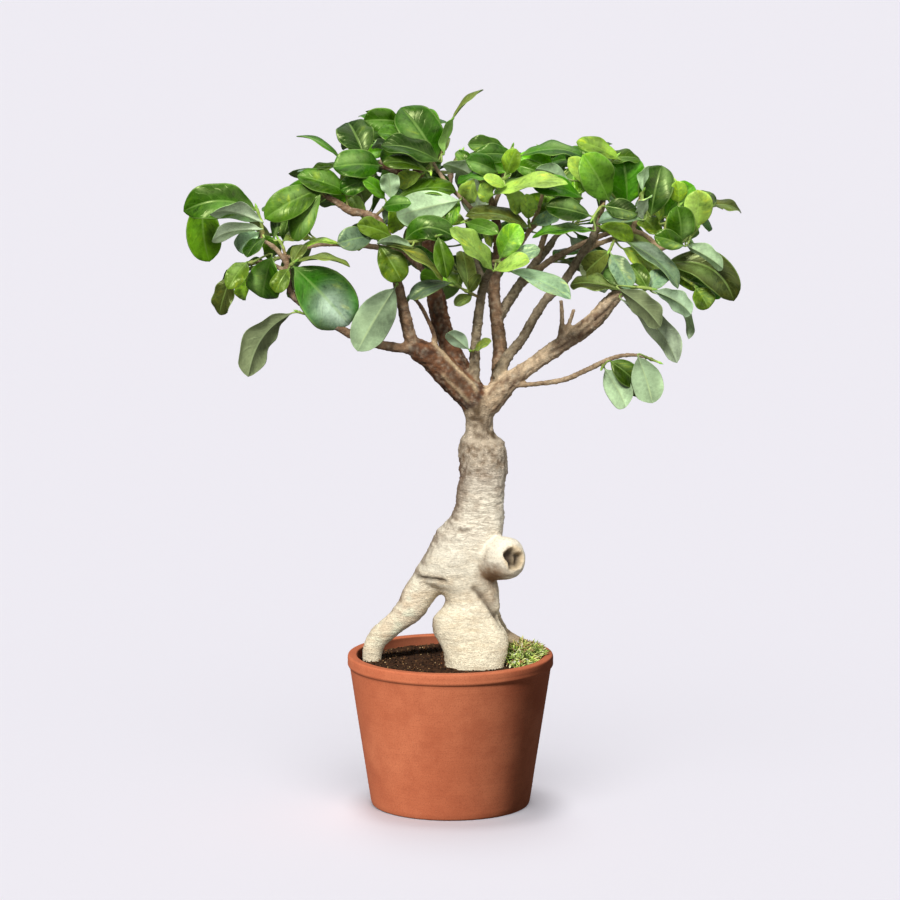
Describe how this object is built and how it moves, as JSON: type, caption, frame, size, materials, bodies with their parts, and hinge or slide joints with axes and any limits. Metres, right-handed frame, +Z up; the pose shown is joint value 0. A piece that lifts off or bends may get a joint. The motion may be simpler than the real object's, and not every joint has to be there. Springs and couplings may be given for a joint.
{
  "type": "ficus bonsai in a terracotta pot",
  "caption": "Small ficus bonsai tree with a swollen pale trunk, exposed roots and a spreading crown of glossy oval leaves, planted in a round terracotta pot.",
  "frame": {"origin": "on the surface that the pot stands on, under the middle of the crown's footprint; the pot's axis is 12 mm to -X and 30 mm to -Y of it", "axes": "+Z up along the tree; the picture's view looks along +Y, with +X to the right"},
  "size_m": [0.4001, 0.2352, 0.522],
  "materials": {
    "terracotta": "matte",
    "soil": "matte",
    "moss": "matte",
    "bark": "matte",
    "leaf_dark": "satin",
    "leaf_mid": "satin",
    "leaf_light": "satin",
    "leaf_pale": "satin"
  },
  "bodies": {
    "root": {"pot": "terracotta", "soil": "soil", "moss": "moss", "wood": "bark", "spray_a1": "leaf_mid", "spray_a2": "leaf_light", "spray_a3": "leaf_dark", "spray_a4": "leaf_mid", "spray_a5": "leaf_pale", "spray_b1": "leaf_mid", "spray_b2": "leaf_mid", "spray_c1": "leaf_mid", "spray_c2": "leaf_pale", "spray_c3": "leaf_dark", "spray_c4": "leaf_mid", "spray_c5": "leaf_pale", "spray_d1": "leaf_dark", "spray_d2": "leaf_mid", "spray_d3": "leaf_dark", "spray_d4": "leaf_pale", "spray_d5": "leaf_dark", "spray_e1": "leaf_light", "spray_e2": "leaf_mid", "spray_e3": "leaf_dark", "spray_e4": "leaf_pale", "spray_f1": "leaf_light", "spray_f2": "leaf_pale", "spray_f3": "leaf_mid", "spray_f3b": "leaf_dark", "spray_f4": "leaf_light", "spray_g1": "leaf_light", "spray_g2": "leaf_dark", "spray_h1": "leaf_mid", "spray_h2": "leaf_dark", "spray_i1": "leaf_light", "spray_i2": "leaf_dark", "spray_i3": "leaf_light", "spray_j1": "leaf_pale", "spray_j2": "leaf_pale", "spray_back_01": "leaf_dark", "spray_back_02": "leaf_dark", "spray_back_03": "leaf_mid", "spray_back_04": "leaf_dark", "spray_back_05": "leaf_mid", "spray_back_06": "leaf_mid", "spray_back_07": "leaf_dark", "spray_back_08": "leaf_dark", "spray_back_09": "leaf_mid", "spray_back_10": "leaf_mid", "spray_back_11": "leaf_mid", "spray_back_12": "leaf_mid", "spray_back_13": "leaf_mid", "spray_back_14": "leaf_dark", "spray_back_15": "leaf_light", "spray_back_16": "leaf_dark", "spray_back_17": "leaf_dark", "spray_back_18": "leaf_dark", "spray_back_19": "leaf_mid", "spray_back_20": "leaf_light", "spray_back_21": "leaf_light"}
  },
  "joints": []
}
